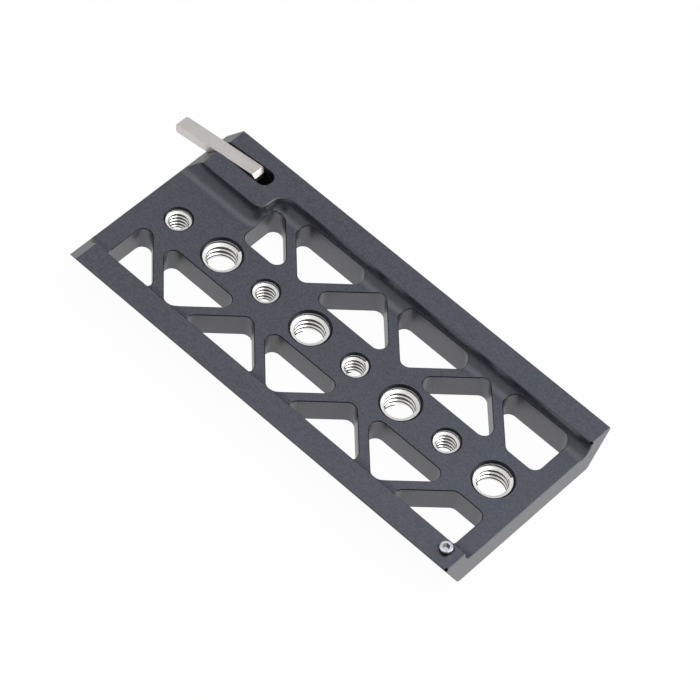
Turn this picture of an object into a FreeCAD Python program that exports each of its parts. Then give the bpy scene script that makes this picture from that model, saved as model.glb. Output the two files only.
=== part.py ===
import FreeCAD, Part
import math
import os
import Sketcher
from FreeCAD import Placement, Rotation, Vector

# Dovetail camera plate with a swinging safety lever, wire thread inserts and a stop screw.
# +X runs to the plain end, +Y to the rail with the lever, +Z up; the origin is the middle of the underside.

# Driving sizes in millimetres and degrees
SIZES = {
    # Plate blank: a dovetail section with its wide face up
    "plate_length": 129.0,
    "top_width": 60.5,
    "plate_height": 11.9,
    "flank_inset": 6.5,
    "edge_round": 0.4,
    "foot_round": 1.2,
    # Recessed floor between the rails
    "rail_width": 7.35,
    "floor_drop": 4.35,
    "floor_fillet": 4.0,
    "rail_break": 0.2,
    "end_break": 0.25,
    # Head that holds the lever
    "head_width": 15.5,
    "head_length": 24.6,
    "head_nose_round": 2.8,
    "head_root_round": 4.3,
    # Lead-in slopes of the rails at the lever end
    "lead_in_length": 4.15,
    "lead_in_drop": 4.3,
    # Truss of cut-outs in the floor
    "spine_half_width": 7.29,
    "strut_width": 2.7,
    "strut_angle": 45.0,
    "truss_start": 26.9,
    "truss_end": 14.0,
    "apex_web": 1.21,
    "truss_web": 0.7,
    "end_flat": 8.95,
    "cutout_round": 2.4,
    "cutout_break": 0.2,
    "far_web": 6.0,
    "near_web": 5.4,
    "head_web": 0.7,
    # Tapped holes and their wire thread inserts along the middle
    "first_insert": 10.53,
    "last_insert": 11.23,
    "quarter_bore": 5.16,
    "quarter_seat": 6.75,
    "quarter_rim": 7.8,
    "eighths_bore": 7.9,
    "eighths_seat": 9.92,
    "eighths_rim": 11.2,
    "insert_recess": 0.45,
    "insert_foot_gap": 0.5,
    "insert_play": 0.03,
    # Safety lever and the slot that it swings in
    "pivot_inset": 4.7,
    "pivot_edge_inset": 7.95,
    "lever_width": 3.9,
    "lever_height": 2.8,
    "lever_outer_reach": 14.1,
    "lever_inner_reach": 11.4,
    "lever_drop": 0.45,
    "lever_float": 0.1,
    "lever_turn_angle": 6.3,
    "lever_swing_angle": 5.0,
    "lever_rest_gap": 0.1,
    "lever_play": 0.08,
    "lever_tip_round": 1.0,
    "lever_tip_facet": 0.4,
    "lever_heel_chamfer": 1.05,
    "lever_heel_corner": 0.9,
    "slot_flare_angle": 5.0,
    "mouth_flare_angle": 8.0,
    "waist_shift": 1.4,
    "waist_round": 2.0,
    "slot_reach": 15.74,
    "slot_end_round": 2.4,
    "well_start": 4.0,
    "well_depth": 8.0,
    # Shoulder screw under the lever
    "pivot_shoulder": 3.0,
    "pivot_play": 0.04,
    "pivot_thread": 2.0,
    "pivot_thread_length": 1.8,
    "thread_play": 0.02,
    "pivot_head": 4.8,
    "pivot_head_height": 1.3,
    "pivot_head_play": 0.3,
    "counterbore_depth": 1.8,
    "pivot_socket": 1.3,
    "pivot_socket_depth": 0.7,
    # Stop screw on the plain rail
    "stop_inset": 4.3,
    "stop_edge_inset": 4.75,
    "stop_head": 3.4,
    "stop_head_height": 1.8,
    "stop_head_round": 0.25,
    "spotface_play": 0.4,
    "spotface_depth": 0.5,
    "stop_thread": 2.0,
    "stop_thread_length": 4.0,
    "stop_socket": 1.7,
    "stop_socket_depth": 0.9,
}
INSERT_COUNT = 8
INWARD_TRIANGLES = 3

doc = FreeCAD.newDocument("DovetailPlate")
sheet = doc.addObject("Spreadsheet::Sheet", "Sizes")
for row, (name, value) in enumerate(SIZES.items(), start=1):
    sheet.set("A%d" % row, name)
    sheet.set("B%d" % row, str(value))
    sheet.setAlias("B%d" % row, name)
doc.recompute()


def size(name):
    """A driving size, read from the sheet."""
    return float(sheet.get(name))


# Levels and places that several features share
FAR_END = -size("plate_length") / 2
NEAR_END = size("plate_length") / 2
RAIL_INNER = size("top_width") / 2 - size("rail_width")
HEAD_INNER = size("top_width") / 2 - size("head_width")
HEAD_END = FAR_END + size("head_length")
FLOOR = size("plate_height") - size("floor_drop")
PIVOT = Vector(FAR_END + size("pivot_inset"), size("top_width") / 2 - size("pivot_edge_inset"), 0)
SLOT_DEPTH = size("lever_drop") + size("lever_height") + size("lever_float")
SLOT_FLOOR = size("plate_height") - SLOT_DEPTH
STOP = Vector(NEAR_END - size("stop_inset"), size("stop_edge_inset") - size("top_width") / 2, 0)
OVERSHOOT = 2.0

SLOT_DEPTH_FORMULA = "Sizes.lever_drop + Sizes.lever_height + Sizes.lever_float"
FLOOR_FORMULA = "Sizes.plate_height - Sizes.floor_drop"


def new_body(label):
    """An empty body with its own label."""
    body = doc.addObject("PartDesign::Body", label)
    body.Label = label
    return body


def new_sketch(body, name, role="XY_Plane", lift=None):
    """A sketch on one of the body's own planes, raised by a formula."""
    sketch = body.newObject("Sketcher::SketchObject", name)
    plane = [item for item in body.Origin.OriginFeatures if item.Role == role][0]
    sketch.AttachmentSupport = [(plane, "")]
    sketch.MapMode = "FlatFace"
    if lift:
        sketch.setExpression("AttachmentOffset.Base.z", lift)
    return sketch


def bind_datum(sketch, index, formula):
    """Tie one dimension of a sketch to a formula."""
    name = "size_%d" % index
    sketch.renameConstraint(index, name)
    sketch.setExpression("Constraints." + name, formula)


def corner_arc(before, corner, after, radius):
    """Tangent points and the arc that rounds one corner of an outline."""
    to_before = (before - corner).normalize()
    to_after = (after - corner).normalize()
    half = to_before.getAngle(to_after) / 2
    start = corner + to_before * (radius / math.tan(half))
    end = corner + to_after * (radius / math.tan(half))
    centre = corner + (to_before + to_after).normalize() * (radius / math.sin(half))
    angles = [math.atan2(p.y - centre.y, p.x - centre.x) for p in (start, end)]
    if (angles[1] - angles[0]) % (2 * math.pi) > math.pi:
        angles.reverse()
    return start, end, Part.ArcOfCircle(Part.Circle(centre, Vector(0, 0, 1), radius), *angles)


def draw_outline(sketch, corners):
    """A closed outline; each corner is (x, y) or (x, y, name of its rounding size)."""
    points = [Vector(c[0], c[1], 0) for c in corners]
    ends = []
    pieces = []
    for i, corner in enumerate(corners):
        if len(corner) == 2:
            ends.append((points[i], points[i]))
            continue
        start, end, arc = corner_arc(points[i - 1], points[i], points[(i + 1) % len(points)], size(corner[2]))
        ends.append((start, end))
        pieces.append((arc, corner[2]))
    for i in range(len(corners)):
        pieces.append((Part.LineSegment(ends[i][1], ends[(i + 1) % len(corners)][0]), None))
    added = []
    for shape, rounding in pieces:
        index = sketch.addGeometry(shape, False)
        added.append(index)
        if rounding:
            datum = sketch.addConstraint(Sketcher.Constraint("Radius", index, shape.Radius))
            bind_datum(sketch, datum, "Sizes." + rounding)
    tie_ends(sketch, added)


def tie_ends(sketch, pieces):
    """Join the ends of an outline's pieces where they meet."""
    spots = [(index, end, sketch.getPoint(index, end)) for index in pieces for end in (1, 2)]
    for i, (one, one_end, one_point) in enumerate(spots):
        for other, other_end, other_point in spots[i + 1:]:
            if other != one and one_point.distanceToPoint(other_point) < 1e-6:
                sketch.addConstraint(Sketcher.Constraint("Coincident", one, one_end, other, other_end))


def draw_circle(sketch, x, y, formula, diameter):
    """A circle whose diameter follows a formula."""
    index = sketch.addGeometry(Part.Circle(Vector(x, y, 0), Vector(0, 0, 1), diameter / 2), False)
    datum = sketch.addConstraint(Sketcher.Constraint("Diameter", index, diameter))
    bind_datum(sketch, datum, formula)


def draw_hexagon(sketch, x, y, across_flats):
    """A hexagon with flats facing along Y."""
    radius = across_flats / math.sqrt(3)
    turns = [math.radians(60 * k) for k in range(6)]
    draw_outline(sketch, [(x + radius * math.cos(a), y + radius * math.sin(a)) for a in turns])


def pad(body, sketch, formula, both_sides=False):
    """Grow a sketch into the body."""
    feature = body.newObject("PartDesign::Pad", sketch.Name + "_pad")
    feature.Profile = sketch
    feature.setExpression("Length", formula)
    if both_sides:
        feature.SideType = "Symmetric"
    doc.recompute()
    return feature


def pocket(body, sketch, formula=None, up=False, both_sides=False):
    """Cut a sketch out of the body, through all of it where no depth is given."""
    before = body.Shape.Volume
    feature = body.newObject("PartDesign::Pocket", sketch.Name + "_pocket")
    feature.Profile = sketch
    if formula:
        feature.setExpression("Length", formula)
    else:
        feature.Type = "ThroughAll"
    if both_sides:
        feature.SideType = "Symmetric"
    feature.Reversed = up
    doc.recompute()
    if not feature.Shape.Volume < before - 1e-6:
        raise RuntimeError(feature.Name + " cuts nothing")
    return feature


def dress(body, kind, base, name, edges, prop, formula):
    """Round or chamfer chosen edges of the last feature."""
    feature = body.newObject("PartDesign::" + kind, name)
    feature.Base = (base, edges)
    feature.setExpression(prop, formula)
    doc.recompute()
    return feature


def edges_where(feature, test):
    """Names of the feature's edges that pass a test."""
    return ["Edge%d" % (i + 1) for i, edge in enumerate(feature.Shape.Edges) if test(edge)]


def level(edge, z):
    """True for an edge that lies at one height."""
    box = edge.BoundBox
    return abs(box.ZMin - z) < 1e-4 and abs(box.ZMax - z) < 1e-4


def through_wall(face):
    """True for an upright wall that runs down to the underside."""
    low_u, high_u, low_v, high_v = face.ParameterRange
    normal = face.normalAt((low_u + high_u) / 2, (low_v + high_v) / 2)
    return abs(normal.z) < 1e-4 and face.BoundBox.ZMin < 1e-4


def insert_places():
    """Middle of each tapped hole along the plate and the family that it belongs to."""
    pitch = (size("plate_length") - size("first_insert") - size("last_insert")) / (INSERT_COUNT - 1)
    for k in range(INSERT_COUNT):
        family = "eighths" if k % 2 else "quarter"
        yield FAR_END + size("first_insert") + k * pitch, family


def cut_blank(body):
    """Dovetail blank with rounded long edges."""
    half = size("top_width") / 2
    foot = half - size("flank_inset")
    high = size("plate_height")
    sketch = new_sketch(body, "section", "YZ_Plane")
    draw_outline(sketch, [(-half, high, "edge_round"), (-foot, 0, "foot_round"),
                          (foot, 0, "foot_round"), (half, high, "edge_round")])
    pad(body, sketch, "Sizes.plate_length", both_sides=True)


def cut_channel(body):
    """Recessed floor with a large fillet along the rails and round the head."""
    out = OVERSHOOT
    sketch = new_sketch(body, "channel", lift="Sizes.plate_height")
    draw_outline(sketch, [(FAR_END - out, -RAIL_INNER), (NEAR_END + out, -RAIL_INNER),
                          (NEAR_END + out, RAIL_INNER), (HEAD_END, RAIL_INNER, "head_root_round"),
                          (HEAD_END, HEAD_INNER, "head_nose_round"), (FAR_END - out, HEAD_INNER)])
    cut = pocket(body, sketch, "Sizes.floor_drop")

    def along_walls(edge, z):
        box = edge.BoundBox
        at_end = box.XLength < 1e-4 and min(abs(box.XMin - FAR_END), abs(box.XMin - NEAR_END)) < 1e-4
        inside = -RAIL_INNER - 1e-4 < box.YMin and box.YMax < RAIL_INNER + 1e-4
        return level(edge, z) and inside and not at_end

    floor_edges = edges_where(cut, lambda e: along_walls(e, FLOOR))
    fillet = dress(body, "Fillet", cut, "floor_fillet", floor_edges, "Radius", "Sizes.floor_fillet")
    rim_edges = edges_where(fillet, lambda e: along_walls(e, size("plate_height")))
    dress(body, "Chamfer", fillet, "rail_break", rim_edges, "Size", "Sizes.rail_break")


def cut_lead_in(body):
    """Slopes that lead the rails into their clamp."""
    high = size("plate_height")
    top = FAR_END + size("lead_in_length")
    foot = high - size("lead_in_drop")
    sketch = new_sketch(body, "lead_in", "XZ_Plane")
    draw_outline(sketch, [(FAR_END, foot), (top, high), (top, high + OVERSHOOT),
                          (FAR_END - OVERSHOOT, high + OVERSHOOT), (FAR_END - OVERSHOOT, foot)])
    cut = pocket(body, sketch, both_sides=True)
    near_edges = edges_where(cut, lambda e: e.BoundBox.XMin > NEAR_END - 1e-4)
    dress(body, "Chamfer", cut, "end_break", near_edges, "Size", "Sizes.end_break")


def truss_outlines():
    """Corners of every cut-out in the floor, both rows."""
    spine = size("spine_half_width")
    reach = RAIL_INNER - size("truss_web")
    run = math.tan(math.radians(size("strut_angle")))
    gap = size("strut_width") / math.sin(math.radians(size("strut_angle")))
    triangles = 2 * INWARD_TRIANGLES - 1
    pitch = (size("plate_length") - size("truss_start") - size("truss_end")) / triangles
    apex = RAIL_INNER - size("apex_web")
    base = (apex - spine) / run
    tip = apex - (pitch - gap) * run
    wide = (reach - tip) / run
    far_wall = FAR_END + size("far_web")
    near_wall = NEAR_END - size("near_web")
    head_wall = HEAD_END + size("head_web")
    flat = size("end_flat")
    first = FAR_END + size("truss_start")
    for side in (-1, 1):
        loops = []
        for k in range(INWARD_TRIANGLES):
            middle = first + 2 * pitch * k
            if side > 0 and k == 0:
                top = apex - (head_wall - middle) * run
                loops.append([(head_wall, spine), (middle + base, spine), (head_wall, top)])
            else:
                loops.append([(middle - base, spine), (middle + base, spine), (middle, apex)])
            outer = middle + pitch
            if k < INWARD_TRIANGLES - 1:
                loops.append([(outer, tip), (outer + wide, reach), (outer - wide, reach)])
            else:
                loops.append([(outer - (flat - tip) / run, flat), (near_wall, flat),
                              (near_wall, reach), (outer - wide, reach)])
        if side < 0:
            outer = first - pitch
            loops.append([(far_wall, tip + (far_wall - outer) * run), (outer + wide, reach),
                          (far_wall, reach)])
        for loop in loops:
            yield [(x, side * y, "cutout_round") for x, y in loop]


def cut_truss(body):
    """Rounded triangular cut-outs that leave a zigzag of struts."""
    sketch = new_sketch(body, "truss")
    for outline in truss_outlines():
        draw_outline(sketch, outline)
    cut = pocket(body, sketch, up=True)

    def rim(edge):
        walls = [face for face in cut.Shape.ancestorsOfType(edge, Part.Face) if through_wall(face)]
        box = edge.BoundBox
        inside = FAR_END + 1e-4 < box.XMin and box.XMax < NEAR_END - 1e-4
        return len(walls) == 1 and inside and box.ZMin > FLOOR - 1e-4

    dress(body, "Chamfer", cut, "cutout_break", edges_where(cut, rim), "Size", "Sizes.cutout_break")


def slot_walls():
    """Corners of the lever's slot: the right wall clears the resting heel, the left one the swung lever."""
    rest = math.radians(size("lever_turn_angle"))
    swung = math.radians(size("lever_turn_angle") - size("lever_swing_angle"))
    flare = math.tan(math.radians(size("slot_flare_angle")))
    half = size("lever_width") / 2
    shift = size("waist_shift")
    left = PIVOT.y - half / math.cos(swung) + shift * math.tan(swung) - size("lever_play")
    heel = size("lever_inner_reach") - size("lever_heel_corner")
    right_end = PIVOT.y + half / math.cos(rest) + heel * math.tan(rest) + size("lever_rest_gap")
    right_waist = right_end - (heel + shift) * flare
    end = PIVOT.x + size("slot_reach")
    mouth = FAR_END - OVERSHOOT
    left_mouth = left - (PIVOT.x + shift - mouth) * math.tan(math.radians(size("mouth_flare_angle")))
    return [(mouth, left_mouth), (PIVOT.x + shift, left, "waist_round"), (end, left, "slot_end_round"),
            (end, right_end, "slot_end_round"), (PIVOT.x + heel, right_end),
            (PIVOT.x - shift, right_waist), (mouth, right_waist)]


def cut_slot(body):
    """Slot of the lever with a deeper well under its inner arm."""
    sketch = new_sketch(body, "slot", lift="Sizes.plate_height")
    corners = slot_walls()
    draw_outline(sketch, corners)
    pocket(body, sketch, SLOT_DEPTH_FORMULA)
    left_end, right_end, knee, right_waist = corners[2:6]
    start = PIVOT.x + size("well_start")
    rise = (knee[1] - right_waist[1]) / (knee[0] - right_waist[0])
    well = new_sketch(body, "well", lift="Sizes.plate_height")
    draw_outline(well, [(start, left_end[1]), left_end, right_end, knee,
                        (start, right_waist[1] + (start - right_waist[0]) * rise)])
    pocket(body, well, "Sizes.well_depth")


def cut_tapped_holes(body):
    """Countersunk through holes for the thread inserts."""
    for family in ("quarter", "eighths"):
        sketch = new_sketch(body, family + "_holes")
        seat = size(family + "_seat")
        for x, kind in insert_places():
            if kind == family:
                draw_circle(sketch, x, 0, "Sizes.%s_seat" % family, seat)
        cut = pocket(body, sketch, up=True)

        def rim(edge):
            round_edge = isinstance(edge.Curve, Part.Circle) and abs(edge.Curve.Radius - seat / 2) < 1e-4
            return round_edge and level(edge, FLOOR)

        formula = "(Sizes.{0}_rim - Sizes.{0}_seat) / 2".format(family)
        dress(body, "Chamfer", cut, family + "_countersinks", edges_where(cut, rim), "Size", formula)


def cut_pivot_bore(body):
    """Bore for the lever's shoulder screw, counterbored from the underside."""
    bore = new_sketch(body, "pivot_bore")
    draw_circle(bore, PIVOT.x, PIVOT.y, "Sizes.pivot_shoulder + 2 * Sizes.pivot_play",
                size("pivot_shoulder") + 2 * size("pivot_play"))
    pocket(body, bore, up=True)
    seat = new_sketch(body, "pivot_counterbore")
    draw_circle(seat, PIVOT.x, PIVOT.y, "Sizes.pivot_head + 2 * Sizes.pivot_head_play",
                size("pivot_head") + 2 * size("pivot_head_play"))
    pocket(body, seat, "Sizes.counterbore_depth", up=True)


def cut_stop_seat(body):
    """Spot-faced blind hole for the stop screw."""
    seat = new_sketch(body, "stop_spotface", lift="Sizes.plate_height")
    draw_circle(seat, STOP.x, STOP.y, "Sizes.stop_head + 2 * Sizes.spotface_play",
                size("stop_head") + 2 * size("spotface_play"))
    pocket(body, seat, "Sizes.spotface_depth")
    hole = new_sketch(body, "stop_hole", lift="Sizes.plate_height")
    draw_circle(hole, STOP.x, STOP.y, "Sizes.stop_thread + 2 * Sizes.thread_play",
                size("stop_thread") + 2 * size("thread_play"))
    pocket(body, hole, "Sizes.spotface_depth + Sizes.stop_thread_length + Sizes.thread_play")


def make_plate():
    """The machined plate."""
    body = new_body("dovetail_plate")
    cut_blank(body)
    cut_channel(body)
    cut_lead_in(body)
    cut_truss(body)
    cut_slot(body)
    cut_tapped_holes(body)
    cut_pivot_bore(body)
    cut_stop_seat(body)
    return body


def make_insert(label, x, family):
    """Sleeve of one wire thread insert: its seat outside, the thread's crest inside."""
    height = "%s - Sizes.insert_recess - Sizes.insert_foot_gap" % FLOOR_FORMULA
    coil = doc.addObject("Part::Cylinder", label + "_coil")
    coil.setExpression("Radius", "Sizes.%s_seat / 2 - Sizes.insert_play" % family)
    coil.setExpression("Height", height)
    coil.setExpression("Placement.Base.z", "Sizes.insert_foot_gap")
    bore = doc.addObject("Part::Cylinder", label + "_bore")
    bore.setExpression("Radius", "Sizes.%s_bore / 2" % family)
    bore.setExpression("Height", "Sizes.plate_height")
    insert = doc.addObject("Part::Cut", label)
    insert.Label = label
    insert.Base = coil
    insert.Tool = bore
    insert.Placement = Placement(Vector(x, 0, 0), Rotation())
    return insert


def make_inserts():
    """All inserts, each family counted from the lever end."""
    counts = {"quarter": 0, "eighths": 0}
    inserts = []
    for x, family in insert_places():
        counts[family] += 1
        inserts.append(make_insert("%s_insert_%d" % (family, counts[family]), x, family))
    return inserts


def make_lever():
    """Flat lever bar as it rests: sides that slant along the slot, ends that are square to the plate."""
    body = new_body("safety_lever")
    slant = math.tan(math.radians(size("lever_turn_angle")))
    half = size("lever_width") / 2 / math.cos(math.radians(size("lever_turn_angle")))
    outer = -size("lever_outer_reach")
    inner = size("lever_inner_reach")
    facet = size("lever_tip_facet")
    sketch = new_sketch(body, "lever_plan")
    draw_outline(sketch, [(outer, outer * slant - half), (inner, inner * slant - half),
                          (inner, inner * slant + half, "lever_heel_corner"),
                          (outer + facet, (outer + facet) * slant + half),
                          (outer, outer * slant + half - facet)])
    bar = pad(body, sketch, "Sizes.lever_height")

    def tip_foot(edge):
        return level(edge, 0) and edge.BoundBox.XMax < outer + 1e-4

    dress(body, "Fillet", bar, "lever_tip", edges_where(bar, tip_foot), "Radius", "Sizes.lever_tip_round")
    high = size("lever_height")
    break_start = inner - size("lever_heel_chamfer")
    break_end = high - size("lever_heel_chamfer")
    heel = new_sketch(body, "lever_heel", "XZ_Plane")
    draw_outline(heel, [(break_start, high), (inner, break_end), (inner + OVERSHOOT, break_end),
                        (inner + OVERSHOOT, high + OVERSHOOT), (break_start, high + OVERSHOOT)])
    pocket(body, heel, both_sides=True)
    hole = new_sketch(body, "lever_hole")
    draw_circle(hole, 0, 0, "Sizes.pivot_thread + 2 * Sizes.thread_play",
                size("pivot_thread") + 2 * size("thread_play"))
    pocket(body, hole, "Sizes.pivot_thread_length + Sizes.thread_play", up=True)
    rest = Vector(PIVOT.x, PIVOT.y, SLOT_FLOOR + size("lever_float"))
    body.Placement = Placement(rest, Rotation())
    return body


def make_pivot():
    """Shoulder screw: head in the counterbore, shoulder in the bore, thread in the lever."""
    body = new_body("lever_pivot")
    head = new_sketch(body, "pivot_head_plan")
    draw_circle(head, 0, 0, "Sizes.pivot_head", size("pivot_head"))
    pad(body, head, "Sizes.pivot_head_height")
    shoulder = new_sketch(body, "pivot_shoulder_plan")
    draw_circle(shoulder, 0, 0, "Sizes.pivot_shoulder", size("pivot_shoulder"))
    head_foot = "(Sizes.counterbore_depth - Sizes.lever_float - Sizes.pivot_head_height)"
    shoulder_top = "(Sizes.plate_height - Sizes.lever_drop - Sizes.lever_height)"
    pad(body, shoulder, "%s - %s" % (shoulder_top, head_foot))
    thread = new_sketch(body, "pivot_thread_plan")
    draw_circle(thread, 0, 0, "Sizes.pivot_thread", size("pivot_thread"))
    pad(body, thread, "%s - %s + Sizes.pivot_thread_length" % (shoulder_top, head_foot))
    socket = new_sketch(body, "pivot_socket_plan")
    draw_hexagon(socket, 0, 0, size("pivot_socket"))
    pocket(body, socket, "Sizes.pivot_socket_depth", up=True)
    foot = size("counterbore_depth") - size("lever_float") - size("pivot_head_height")
    body.Placement = Placement(Vector(PIVOT.x, PIVOT.y, foot), Rotation())
    return body


def make_stop_screw():
    """Socket head screw that stands on the rail as an end stop."""
    body = new_body("stop_screw")
    shank = new_sketch(body, "stop_thread_plan")
    draw_circle(shank, 0, 0, "Sizes.stop_thread", size("stop_thread"))
    pad(body, shank, "Sizes.stop_thread_length + Sizes.stop_head_height")
    head = new_sketch(body, "stop_head_plan", lift="Sizes.stop_thread_length")
    draw_circle(head, 0, 0, "Sizes.stop_head", size("stop_head"))
    solid = pad(body, head, "Sizes.stop_head_height")
    top = size("stop_thread_length") + size("stop_head_height")

    def head_rim(edge):
        return level(edge, top) and edge.BoundBox.XLength > size("stop_head") - 1e-3

    rims = edges_where(solid, head_rim)
    dress(body, "Fillet", solid, "stop_head_edge", rims, "Radius", "Sizes.stop_head_round")
    socket = new_sketch(body, "stop_socket_plan", lift="Sizes.stop_thread_length + Sizes.stop_head_height")
    draw_hexagon(socket, 0, 0, size("stop_socket"))
    pocket(body, socket, "Sizes.stop_socket_depth")
    foot = size("plate_height") - size("spotface_depth") - size("stop_thread_length")
    body.Placement = Placement(Vector(STOP.x, STOP.y, foot), Rotation())
    return body


def write_parts(pieces):
    """Check every object and write each piece to its own file."""
    doc.recompute()
    for item in doc.Objects:
        if "Invalid" in item.State or "Error" in item.State:
            raise RuntimeError("%s failed: %s" % (item.Name, item.State))
    os.makedirs("parts", exist_ok=True)
    for piece in pieces:
        shape = piece.Shape
        if shape.isNull() or not shape.isValid() or len(shape.Solids) != 1:
            raise RuntimeError("%s is not one sound solid" % piece.Label)
        shape.exportStep("parts/%s.step" % piece.Label)
        print("%s volume %.2f mm3" % (piece.Label, shape.Volume))


write_parts([make_plate()] + make_inserts() + [make_lever(), make_pivot(), make_stop_screw()])
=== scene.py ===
import math
import bpy
from mathutils import Matrix, Vector


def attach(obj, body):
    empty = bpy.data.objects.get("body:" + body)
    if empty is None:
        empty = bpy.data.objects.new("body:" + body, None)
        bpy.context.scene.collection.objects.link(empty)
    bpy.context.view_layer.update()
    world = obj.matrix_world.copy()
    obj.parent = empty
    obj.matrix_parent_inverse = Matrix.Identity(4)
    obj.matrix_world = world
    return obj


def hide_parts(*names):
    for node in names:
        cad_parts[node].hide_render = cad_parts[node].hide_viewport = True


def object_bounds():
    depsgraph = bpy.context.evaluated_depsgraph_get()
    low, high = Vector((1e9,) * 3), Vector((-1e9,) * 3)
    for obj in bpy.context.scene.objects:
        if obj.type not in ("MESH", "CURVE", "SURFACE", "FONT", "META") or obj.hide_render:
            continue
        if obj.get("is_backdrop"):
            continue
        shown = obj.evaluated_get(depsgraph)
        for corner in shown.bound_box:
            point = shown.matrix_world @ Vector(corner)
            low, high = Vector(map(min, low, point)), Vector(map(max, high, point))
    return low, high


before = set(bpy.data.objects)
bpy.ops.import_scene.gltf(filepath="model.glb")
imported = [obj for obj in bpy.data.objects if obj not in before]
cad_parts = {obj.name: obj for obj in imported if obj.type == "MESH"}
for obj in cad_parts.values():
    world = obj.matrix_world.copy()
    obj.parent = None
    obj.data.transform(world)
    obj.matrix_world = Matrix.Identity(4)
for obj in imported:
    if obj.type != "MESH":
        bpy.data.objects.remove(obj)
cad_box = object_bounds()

MM = 0.001

# Row of thread inserts, in millimetres along the plate and above its foot
FIRST_INSERT = -53.97
INSERT_SPACING = 15.32
INSERT_TOP = 7.35
INSERT_FOOT = 0.02
# Bore, tapped hole and thread pitch of the two insert sizes, in millimetres
INSERT_SIZES = {"quarter": (5.16, 6.75, 1.27), "eighths": (7.9, 9.92, 1.5875)}
# Where each coil's top end points, in degrees about its own axis
TOP_ENDS = (2, 63, 25, 30, 73, 20, 10, 56)

# Wire of the inserts: its height as a share of the pitch, its crest's as a share of its own
WIRE_HEIGHT = 0.96
CREST_HEIGHT = 0.3
# Its rounded crest, its broken outer edges and its depth in the tapped wall, in millimetres
CREST_ROUND = 0.1
OUTER_BREAK = 0.13
WIRE_BURIED = 0.1
# Steps of the winding in one turn, and the degrees up to which its edges are smooth
STEPS_PER_TURN = 56
SMOOTH_ANGLE = 28
# Least upward normal of the wire's upper flank, and the order of the wire's finishes
FLANK_RISE = 0.86
BRIGHT, IN_SHADE, RUBBED = range(3)

# The lever lies along the slanted wall of its slot, turned by these degrees
LEVER_TURN = -6.3
# Axis of the stop screw and middles of the two spots of painted shade at the rails' near end, in
# millimetres
STOP_AXIS = (60.2, -25.5)
SHADE_SPOTS = ((64.1, -29.6, 11.9), (64.2, 23.0, 11.7))

# Bands where a finish changes, in millimetres: it fades from the first number to the second
END_RIMS = (63.9, 64.2)    # distance from the plate's middle along it
BARE_BELOW = (3.0, 3.5)    # heights above the foot: the tapped holes' bare walls
BARE_ABOVE = (6.6, 6.9)
CUT_OUTS = (7.2, 7.5)      # top of the cut-outs' walls
FLOOR_RIMS = (7.56, 7.58)  # top of the rims in the recessed floor
RAIL_RIMS = (11.62, 11.7)  # foot of the rims on the rails
HOLE_WALL = (5.1, 5.2)     # distance from the axis of a tapped hole
SOCKET_WALL = (1.1, 1.2)   # distance from the axis of the stop screw
SHADE_SPOT_EDGE = (0.36, 0.56)   # distance from the middle of a spot of painted shade

# Bands of the surface's normal: its part along the plate, then its upward part
END_ON = (0.9, 0.96)
TOWARD_PLAIN_END = (0.05, 0.3)
LYING = (0.2, 0.4)
SOCKET_LYING = (0.3, 0.5)
SLANT_FROM = (0.6, 0.66)
SLANT_TO = (0.75, 0.8)

# Shares of the painted light on walls (bounce light) and curved rims (highlights), and of the painted
# shade on floor rims
WALL_BOUNCE_SHARE = 0.4
CURVE_HIGHLIGHT_SHARE = 0.8
RIM_SHADE_SHARE = 0.75

# Studio: a glow from all round, less on a dark side near the camera and a dim one beyond the plate
SKY_GLOW = 0.7
DARK_SIDE, DARK_DROP, DARK_EDGE = (0.5, -0.7, 0.51), 0.64, (0.85, 0.94)
DIM_SIDE, DIM_DROP, DIM_EDGE = (-0.75, 0.55, 0.37), 0.2, (0.75, 0.95)
# Its pale ground, in metres, and the share of it that shows as white
GROUND_SIZE, GROUND_LEVEL, GROUND_WHITE = 6.0, -0.0002, 0.97

# Camera of the photograph: place in metres, its three directions, lens and shift
CAMERA_PLACE = (0.29813166, -0.40947825, 0.7124038)
CAMERA_RIGHT = (0.72481116, 0.68230646, 0.0954289)
CAMERA_UP = (-0.59940089, 0.55623561, 0.57560449)
CAMERA_BACK = (0.33965771, -0.47440473, 0.81214087)
SENSOR_WIDTH, LENS, SHIFT = 36.0, 180.9286, (0.00023, 0.00059)
FAR_CLIP = 20.0


def rgb(red, green, blue):
    return (red, green, blue, 1.0)


# How much of a pattern lies between a finish's darker and its lighter tone
GREY_SPREAD = (0.38, 0.62)
STEEL_SPREAD = (0.3, 0.7)
# Colours: finishes from their darker to their lighter tone, then single colours
BLASTED_GREY = rgb(0.002, 0.002, 0.005), rgb(0.025, 0.025, 0.042)
# Painted light: paler grey for the end faces, bounce light on upright walls and highlights on curved
# rims
PAINTED_LIGHT_GREY = rgb(0.06, 0.056, 0.06), rgb(0.1, 0.095, 0.1)
BARE_METAL = rgb(0.8, 0.79, 0.77), rgb(0.9, 0.89, 0.87)
LEVER_STEEL = rgb(0.585, 0.548, 0.517), rgb(0.68, 0.64, 0.607)
WIRE_STEEL = rgb(0.92, 0.9, 0.87), rgb(0.99, 0.98, 0.96)
# Painted shade: dark wire for the crests, undersides and outer edges of the coils
WIRE_SHADE = rgb(0.05, 0.045, 0.04), rgb(0.13, 0.12, 0.11)
SCREW_STEEL = rgb(0.5, 0.49, 0.48), rgb(0.66, 0.65, 0.64)
# Painted shade inside the stop screw's socket
SOCKET_SHADE = rgb(0.13, 0.12, 0.11)
# Painted shade: dark colour on the slanted rims in the recessed floor and on two corner spots
PAINTED_SHADE_COLOUR = rgb(0.006, 0.006, 0.007)
ANODISED_GLEAM = rgb(0.92, 0.935, 1.0)
GROUND_MATT = rgb(0.82, 0.82, 0.82)
SKY_WHITE = rgb(0.98, 0.99, 1.0)
WHITE = rgb(1.0, 1.0, 1.0)


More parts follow.
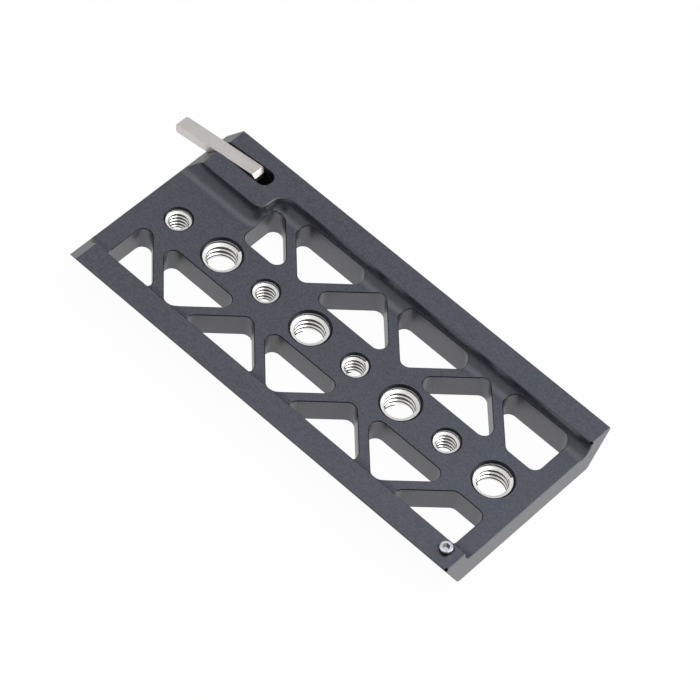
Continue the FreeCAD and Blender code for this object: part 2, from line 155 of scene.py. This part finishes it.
class Shade:
    """One socket of a material's nodes; an expression on shades adds Math nodes."""

    def __init__(self, tree, socket=None):
        self.tree = tree
        self.socket = socket

    def node(self, kind, settings=None, sockets=None, out=0):
        """Add a node: its settings first, then the values or links of its sockets."""
        made = self.tree.nodes.new(kind)
        for name, value in (settings or {}).items():
            setattr(made, name, value)
        for name, value in (sockets or {}).items():
            if isinstance(value, Shade):
                self.tree.links.new(value.socket, made.inputs[name])
            else:
                made.inputs[name].default_value = value
        if isinstance(out, tuple):
            return [Shade(self.tree, made.outputs[name]) for name in out]
        return Shade(self.tree, made.outputs[out] if made.outputs else None)

    def maths(self, operation, one, two=0.0):
        return self.node("ShaderNodeMath", {"operation": operation}, {0: one, 1: two})

    def __add__(self, other):
        return self.maths("ADD", self, other)

    def __radd__(self, other):
        return self.maths("ADD", other, self)

    def __sub__(self, other):
        return self.maths("SUBTRACT", self, other)

    def __rsub__(self, other):
        return self.maths("SUBTRACT", other, self)

    def __mul__(self, other):
        return self.maths("MULTIPLY", self, other)

    def __rmul__(self, other):
        return self.maths("MULTIPLY", other, self)

    def __or__(self, other):
        """Where either mask is, by the greater of the two."""
        return self.maths("MAXIMUM", self, other)

    def __abs__(self):
        return self.maths("ABSOLUTE", self)

    def __round__(self):
        return self.maths("ROUND", self)

    def root(self):
        return self.maths("SQRT", self)

    def between(self, low, high):
        """0 below low, 1 above high, smooth between them."""
        return self.node("ShaderNodeMapRange", {"interpolation_type": "SMOOTHSTEP"},
                         {"Value": self, "From Min": low, "From Max": high})

    def past(self, band):
        """The same over a band in millimetres."""
        return self.between(band[0] * MM, band[1] * MM)

    def tint(self, first, second):
        """Colour that goes from first to second with this shade."""
        return self.node("ShaderNodeMix", {"data_type": "RGBA"}, {0: self, 6: first, 7: second}, out=2)


def new_material(name):
    """An empty material and the start of its node sums."""
    material = bpy.data.materials.new(name)
    material.use_nodes = True
    material.node_tree.nodes.clear()
    return material, Shade(material.node_tree)


def principled(shade, sockets):
    return shade.node("ShaderNodeBsdfPrincipled", sockets=sockets)


def mix_surfaces(shade, share, first, second):
    return shade.node("ShaderNodeMixShader", sockets={0: share, 1: first, 2: second})


def show(shade, surface, output="ShaderNodeOutputMaterial"):
    shade.node(output, sockets={"Surface": surface})


def object_place(shade):
    return shade.node("ShaderNodeTexCoord", out=3)


def object_normal(shade):
    return shade.node("ShaderNodeTexCoord", out=1)


def parts(shade, vector):
    """The three numbers of a vector."""
    return shade.node("ShaderNodeSeparateXYZ", sockets={0: vector}, out=(0, 1, 2))


def distance(shade, place, point):
    """How far a place is from a point given in millimetres."""
    return shade.node("ShaderNodeVectorMath", {"operation": "DISTANCE"},
                      {0: place, 1: [number * MM for number in point]}, out=1)


def toward(shade, way, side):
    """How nearly a direction points to one side of the studio."""
    return shade.node("ShaderNodeVectorMath", {"operation": "DOT_PRODUCT"}, {0: way, 1: side}, out=1)


def from_axis(aside, across):
    """Distance from an upright axis."""
    return (aside * aside + across * across).root()


def noise(shade, place, scale, detail=3.0, roughness=0.5):
    return shade.node("ShaderNodeTexNoise", sockets={
        "Vector": place, "Scale": scale, "Detail": detail, "Roughness": roughness})


def stretched(shade, place, scale, turn=0.0):
    """Object coordinates turned about Z by some degrees and stretched."""
    return shade.node("ShaderNodeMapping", sockets={
        "Vector": place, "Rotation": (0.0, 0.0, math.radians(turn)), "Scale": scale})


def bump(shade, height, deep, strength):
    """Relief from a pattern, deep in millimetres."""
    return shade.node("ShaderNodeBump", sockets={
        "Height": height, "Distance": deep * MM, "Strength": strength})


def anodised_grey():
    """Blasted dark grey anodised aluminium, bare in tapped holes; painted light on the ends, walls and
    curved rims, painted shade on floor rims and two corner spots.
    """
    material, shade = new_material("anodised_grey")
    place = object_place(shade)
    along, across, level = parts(shade, place)
    lengthwise, _, upward = parts(shade, object_normal(shade))
    grain = noise(shade, place, scale=1700.0, detail=2.0, roughness=0.7)
    mottle = noise(shade, place, scale=520.0, detail=4.0, roughness=0.62)
    cloud = noise(shade, place, scale=34.0)
    tone = (grain * 0.7 + mottle * 0.2 + cloud * 0.1).between(*GREY_SPREAD)

    upright = 1.0 - abs(upward).between(*LYING)
    inland = 1.0 - abs(along).past(END_RIMS)
    rims = (upward.between(*SLANT_FROM) - upward.between(*SLANT_TO)) * inland

    # Painted light: paler grey on the end faces, on upright walls below the cut-outs' tops as bounce
    # light, and on curved rims as highlights
    ends = abs(lengthwise).between(*END_ON)
    curve = rims * lengthwise.between(*TOWARD_PLAIN_END) * level.past(RAIL_RIMS) * CURVE_HIGHLIGHT_SHARE
    walls = upright * (1.0 - level.past(CUT_OUTS)) * WALL_BOUNCE_SHARE
    colour = (ends | curve | walls).tint(tone.tint(*BLASTED_GREY), tone.tint(*PAINTED_LIGHT_GREY))

    row = (along - FIRST_INSERT * MM) * (1.0 / (INSERT_SPACING * MM))
    aside = (row - round(row)) * (INSERT_SPACING * MM)
    holes = 1.0 - from_axis(aside, across).past(HOLE_WALL)
    clean = level.past(BARE_ABOVE) | (1.0 - level.past(BARE_BELOW))
    tapped = upright * inland * clean * holes

    surface = principled(shade, {
        "Base Color": tapped.tint(colour, tone.tint(*BARE_METAL)),
        "Metallic": tapped,
        "Roughness": 0.24 + 0.08 * mottle + 0.2 * grain,
        "IOR": 1.9,
        "Specular Tint": ANODISED_GLEAM,
        "Normal": bump(shade, grain, deep=0.08, strength=0.5)})

    # Painted shade: two dark spots at the rails' near end and dark outlines on the floor's slanted rims
    first, second = [1.0 - distance(shade, place, nick).past(SHADE_SPOT_EDGE) for nick in SHADE_SPOTS]
    shaded = first | second | rims * (1.0 - level.past(FLOOR_RIMS)) * RIM_SHADE_SHARE
    dark_shade = shade.node("ShaderNodeBsdfDiffuse", sockets={"Color": PAINTED_SHADE_COLOUR})
    show(shade, mix_surfaces(shade, shaded, surface, dark_shade))
    return material


def brushed_steel():
    """Stainless bar of the lever, with fine lines along its length."""
    material, shade = new_material("brushed_lever_steel")
    place = object_place(shade)
    lines = noise(shade, stretched(shade, place, (180.0, 9000.0, 9000.0), LEVER_TURN),
                  scale=1.0, detail=4.0, roughness=0.6)
    cloud = noise(shade, place, scale=160.0)
    tone = (lines * 0.6 + cloud * 0.4).between(*STEEL_SPREAD)
    show(shade, principled(shade, {
        "Base Color": tone.tint(*LEVER_STEEL),
        "Metallic": 1.0,
        "Roughness": 0.36 + 0.1 * lines,
        "Normal": bump(shade, lines, deep=0.01, strength=0.4)}))
    return material


def bright_wire(name, gloss, metal):
    """Drawn stainless wire of the thread inserts."""
    material, shade = new_material(name)
    place = object_place(shade)
    drawn = noise(shade, stretched(shade, place, (700.0, 700.0, 9000.0)), scale=1.0, roughness=0.55)
    cloud = noise(shade, place, scale=500.0, detail=2.0)
    tone = (drawn * 0.5 + cloud * 0.5).between(*STEEL_SPREAD)
    show(shade, principled(shade, {
        "Base Color": tone.tint(*WIRE_STEEL),
        "Metallic": metal,
        "Roughness": gloss + 0.08 * drawn,
        "Normal": bump(shade, drawn, deep=0.006, strength=0.3)}))
    return material


def shaded_wire():
    """Crests, undersides and outer edges of the wire, darkened with painted shade."""
    material, shade = new_material("dull_insert_wire")
    shade_mottle = noise(shade, object_place(shade), scale=900.0, detail=4.0, roughness=0.6)
    show(shade, principled(shade, {
        "Base Color": shade_mottle.between(*STEEL_SPREAD).tint(*WIRE_SHADE),
        "Metallic": 0.6,
        "Roughness": 0.4 + 0.2 * shade_mottle,
        "Normal": bump(shade, shade_mottle, deep=0.01, strength=0.4)}))
    return material


def screw_steel():
    """Turned and polished stainless screws; the stop screw's socket has painted shade inside."""
    material, shade = new_material("screw_steel")
    place = object_place(shade)
    along, across, _ = parts(shade, place)
    upward = parts(shade, object_normal(shade))[2]
    turned = noise(shade, stretched(shade, place, (900.0, 900.0, 7000.0)), scale=1.0)
    cloud = noise(shade, place, scale=900.0)
    tone = (turned * 0.5 + cloud * 0.5).between(*STEEL_SPREAD)
    reach = from_axis(along - STOP_AXIS[0] * MM, across - STOP_AXIS[1] * MM)
    # Painted shade: the socket's upright walls take a dark colour
    socket = (1.0 - upward.between(*SOCKET_LYING)) * (1.0 - reach.past(SOCKET_WALL))
    show(shade, principled(shade, {
        "Base Color": socket.tint(tone.tint(*SCREW_STEEL), SOCKET_SHADE),
        "Metallic": 1.0,
        "Roughness": 0.08 + 0.1 * cloud,
        "Normal": bump(shade, turned, deep=0.006, strength=0.3)}))
    return material


def deselect_all():
    bpy.ops.object.select_all(action="DESELECT")


def pick_vertices(piece, test):
    """Select a mesh's vertices by their place and stay in edit mode."""
    bpy.ops.object.mode_set(mode="EDIT")
    bpy.ops.mesh.select_mode(type="VERT")
    bpy.ops.mesh.select_all(action="DESELECT")
    bpy.ops.object.mode_set(mode="OBJECT")
    for vertex in piece.data.vertices:
        vertex.select = test(vertex.co)
    bpy.ops.object.mode_set(mode="EDIT")


def settle():
    """Put the selected piece's place, turn and size into its mesh."""
    bpy.ops.object.transform_apply(location=True, rotation=True, scale=True)


def wind_coil(bore, seat, pitch):
    """Wire thread insert about the middle axis, wound from a V-shaped section; its top end is at +X."""
    inner, outer = bore / 2, seat / 2 + WIRE_BURIED
    middle = (inner + outer) / 2 * MM
    wide = pitch * WIRE_HEIGHT
    turns = (INSERT_TOP - INSERT_FOOT - wide) / pitch
    deselect_all()
    bpy.ops.mesh.primitive_plane_add(size=1.0, rotation=(math.radians(90), 0.0, 0.0))
    coil = bpy.context.object
    coil.scale = ((outer - inner) * MM, wide * MM, 1.0)
    coil.location = (middle, 0.0, (INSERT_FOOT + wide / 2) * MM)
    settle()
    pick_vertices(coil, lambda place: place.x < middle)
    bpy.ops.transform.resize(value=(1.0, 1.0, CREST_HEIGHT))
    bpy.ops.mesh.bevel(offset=CREST_ROUND * MM, segments=3, affect="VERTICES")
    pick_vertices(coil, lambda place: place.x > middle)
    bpy.ops.mesh.bevel(offset=OUTER_BREAK * MM, segments=1, affect="VERTICES")
    bpy.ops.mesh.select_all(action="SELECT")
    bpy.ops.mesh.delete(type="ONLY_FACE")
    bpy.ops.object.mode_set(mode="OBJECT")
    winding = coil.modifiers.new("winding", "SCREW")
    winding.axis = "Z"
    winding.angle = 2 * math.pi * turns
    winding.screw_offset = pitch * turns * MM
    winding.steps = round(STEPS_PER_TURN * turns)
    winding.render_steps = winding.steps
    bpy.ops.object.modifier_apply(modifier=winding.name)
    bpy.ops.object.mode_set(mode="EDIT")
    bpy.ops.mesh.select_all(action="SELECT")
    bpy.ops.mesh.fill_holes(sides=0)
    bpy.ops.mesh.select_all(action="SELECT")
    bpy.ops.mesh.normals_make_consistent(inside=False)
    bpy.ops.object.mode_set(mode="OBJECT")
    bpy.ops.object.shade_smooth_by_angle(angle=math.radians(SMOOTH_ANGLE))
    coil.rotation_euler = (0.0, 0.0, -2 * math.pi * turns)
    settle()
    return coil


def set_coil(wound, name, x, start):
    """Copy of a wound coil, with its own mesh, turned to its top end and set into its hole."""
    deselect_all()
    wound.select_set(True)
    bpy.context.view_layer.objects.active = wound
    bpy.ops.object.duplicate()
    coil = bpy.context.object
    coil.name = name
    coil.data.name = name
    coil.rotation_euler = (0.0, 0.0, math.radians(start))
    coil.location = (x * MM, 0.0, 0.0)
    settle()
    return coil


def share_finishes(coil, seat, pitch, x, start):
    """Upper flanks shine, the other faces take the painted shade, and screws have rubbed the top turn
    satin.
    """
    for face in coil.data.polygons:
        aside, across, level = face.center.x - x * MM, face.center.y, face.center.z
        back = (math.radians(start) - math.atan2(across, aside)) / (2 * math.pi) % 1.0
        last_turn = INSERT_TOP - pitch * (1.0 + back)
        if face.normal.z < FLANK_RISE or math.hypot(aside, across) > seat / 2 * MM:
            face.material_index = IN_SHADE
        elif level > last_turn * MM:
            face.material_index = RUBBED
        else:
            face.material_index = BRIGHT


def add_inserts(finishes):
    """Eight coils, the two thread sizes in turn; each top end points its own way."""
    wound = {family: wind_coil(*sizes) for family, sizes in INSERT_SIZES.items()}
    for k, start in enumerate(TOP_ENDS):
        family = "eighths" if k % 2 else "quarter"
        node = "%s_insert_%d" % (family, k // 2 + 1)
        x = FIRST_INSERT + INSERT_SPACING * k
        _, seat, pitch = INSERT_SIZES[family]
        coil = set_coil(wound[family], "coil_" + node, x, start)
        for finish in finishes:
            coil.data.materials.append(finish)
        share_finishes(coil, seat, pitch, x, start)
        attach(coil, "plate")
        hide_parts(node)
    for first in wound.values():
        bpy.data.meshes.remove(first.data)


def paint(nodes, material):
    """Give CAD nodes their finish."""
    for name in nodes:
        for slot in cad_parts[name].material_slots:
            slot.material = material


def add_floor():
    """Pale floor that shows white, with a faint shadow under the plate."""
    deselect_all()
    bpy.ops.mesh.primitive_plane_add(size=GROUND_SIZE, location=(0.0, 0.0, GROUND_LEVEL))
    floor = bpy.context.object
    floor.name = "studio_floor"
    material, shade = new_material("studio_floor")
    eye, mirrored, through = shade.node("ShaderNodeLightPath", out=(
        "Is Camera Ray", "Is Glossy Ray", "Is Transmission Ray"))
    matt = shade.node("ShaderNodeBsdfDiffuse", sockets={"Color": GROUND_MATT})
    white = shade.node("ShaderNodeEmission", sockets={"Color": WHITE, "Strength": 1.0})
    show(shade, mix_surfaces(shade, (eye | mirrored | through) * GROUND_WHITE, matt, white))
    floor.data.materials.append(material)
    floor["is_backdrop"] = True


def add_world():
    """Even surroundings: white to the eye, soft grey as light, with a dark and a dim side."""
    world = bpy.data.worlds.new("studio")
    bpy.context.scene.world = world
    world.use_nodes = True
    world.node_tree.nodes.clear()
    shade = Shade(world.node_tree)
    eye = shade.node("ShaderNodeLightPath", out="Is Camera Ray")
    way = shade.node("ShaderNodeTexCoord")
    dark = toward(shade, way, DARK_SIDE).between(*DARK_EDGE)
    dim = toward(shade, way, DIM_SIDE).between(*DIM_EDGE)
    glow = SKY_GLOW - DARK_DROP * dark - DIM_DROP * dim
    soft = shade.node("ShaderNodeBackground", sockets={"Color": SKY_WHITE, "Strength": glow})
    white = shade.node("ShaderNodeBackground", sockets={"Color": WHITE, "Strength": 1.0})
    show(shade, mix_surfaces(shade, eye, soft, white), "ShaderNodeOutputWorld")


def add_lamp(name, place, aim, size, glow, colour=(1.0, 1.0, 1.0)):
    """Rectangular soft light that looks at one point; glow is its brightness to the eye."""
    lamp = bpy.data.lights.new(name, "AREA")
    lamp.shape = "RECTANGLE"
    lamp.size, lamp.size_y = size
    lamp.energy = glow * math.pi * size[0] * size[1]
    lamp.color = colour
    holder = bpy.data.objects.new(name, lamp)
    bpy.context.scene.collection.objects.link(holder)
    holder.location = place
    holder.rotation_euler = (Vector(aim) - Vector(place)).to_track_quat("-Z", "Y").to_euler()


def add_camera():
    """Camera at the photograph's place, turn and lens."""
    data = bpy.data.cameras.new("photo_camera")
    data.sensor_width = SENSOR_WIDTH
    data.lens = LENS
    data.shift_x, data.shift_y = SHIFT
    data.clip_end = FAR_CLIP
    camera = bpy.data.objects.new("photo_camera", data)
    bpy.context.scene.collection.objects.link(camera)
    turn = Matrix((CAMERA_RIGHT, CAMERA_UP, CAMERA_BACK)).transposed().to_4x4()
    camera.matrix_world = Matrix.Translation(CAMERA_PLACE) @ turn
    bpy.context.scene.camera = camera


paint(["dovetail_plate"], anodised_grey())
paint(["safety_lever"], brushed_steel())
paint(["lever_pivot", "stop_screw"], screw_steel())
add_inserts((bright_wire("bright_insert_wire", gloss=0.16, metal=1.0), shaded_wire(),
             bright_wire("rubbed_insert_wire", gloss=0.4, metal=0.5)))
add_floor()
add_world()
add_lamp("overhead_softbox", place=(-0.3, 0.0, 0.9), aim=(-0.3, 0.0, 0.0), size=(0.8, 0.6), glow=0.9)
add_lamp("right_softbox", place=(0.6, 0.3, 0.9), aim=(0.6, 0.3, 0.0), size=(0.5, 0.7), glow=3.0)
add_lamp("near_sky", place=(0.2, 0.55, 0.9), aim=(0.2, 0.55, 0.0), size=(0.9, 0.45), glow=0.79,
         colour=(0.62, 0.75, 1.0))
add_lamp("side_panel", place=(0.8, 0.62, 0.32), aim=(0.0, 0.0, 0.0), size=(0.8, 0.8), glow=2.4)
add_camera()
bpy.context.scene.view_settings.view_transform = "Standard"

{"cad": [list(c) for c in cad_box], "visual": [list(c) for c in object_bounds()]}
